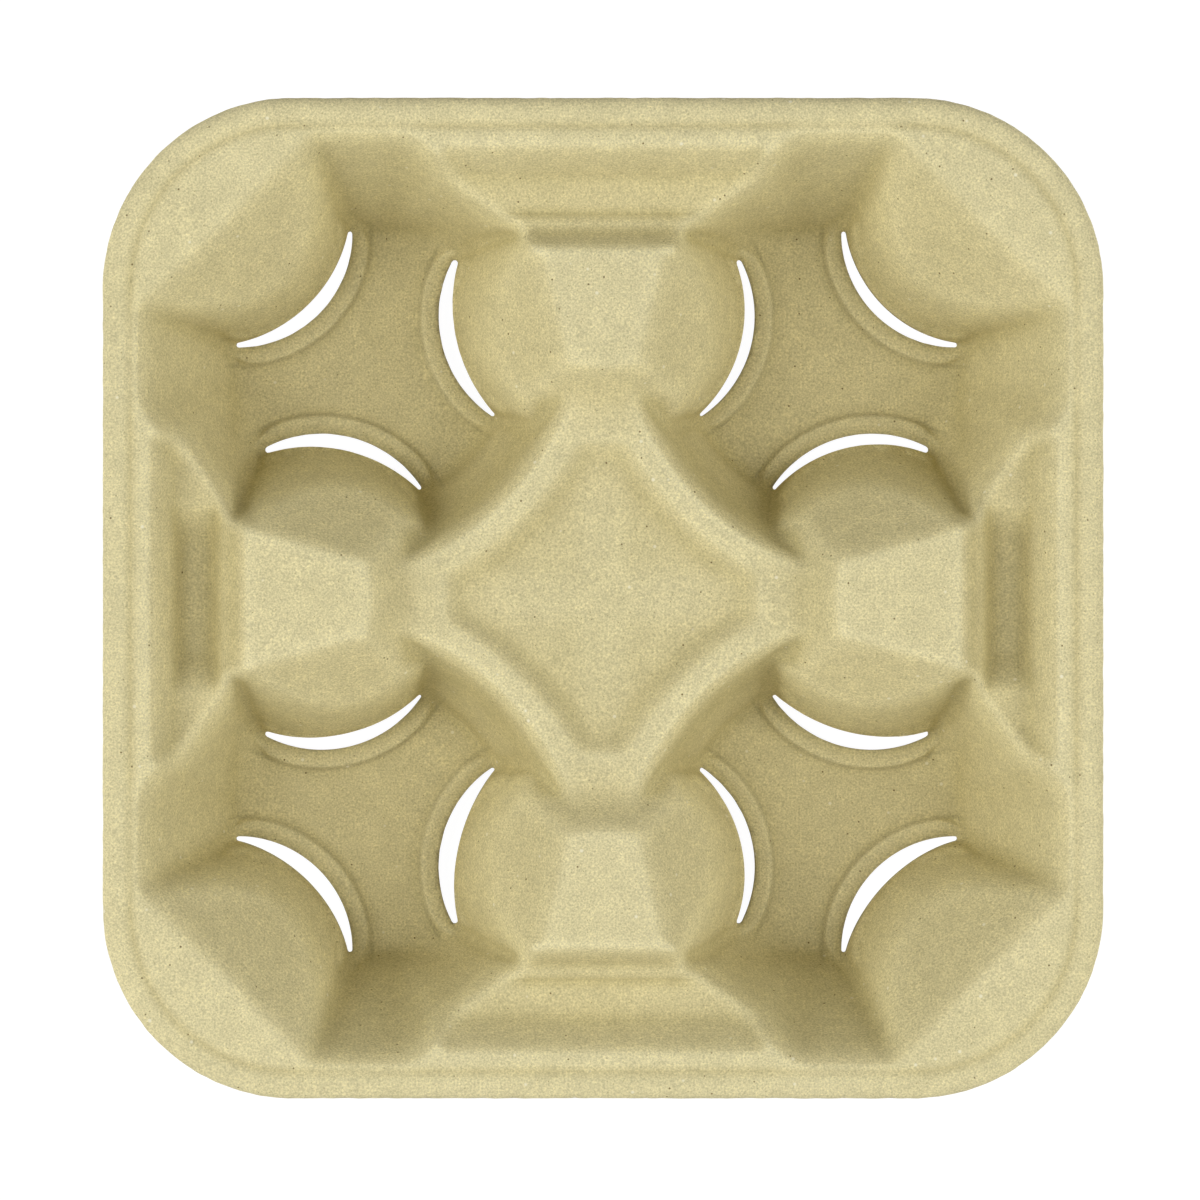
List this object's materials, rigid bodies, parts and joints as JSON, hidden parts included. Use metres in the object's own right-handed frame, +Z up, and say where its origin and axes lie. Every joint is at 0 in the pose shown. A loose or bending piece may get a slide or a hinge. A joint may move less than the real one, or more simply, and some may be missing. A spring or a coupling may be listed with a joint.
{
  "type": "cup carrier",
  "caption": "Square moulded-pulp cup carrier: star-shaped wells with curved flaps and crescent slots round a raised diamond hub, inside a flat rounded rim.",
  "frame": {"origin": "middle of the tray, on the surface that it stands on", "axes": "+Z up out of the wells; X and Y along the square rim's sides"},
  "size_m": [0.21, 0.21, 0.044],
  "materials": {
    "moulded_pulp": "matt, rough moulded fibre"
  },
  "bodies": {
    "root": {"carrier_tray": "moulded_pulp"}
  },
  "joints": []
}
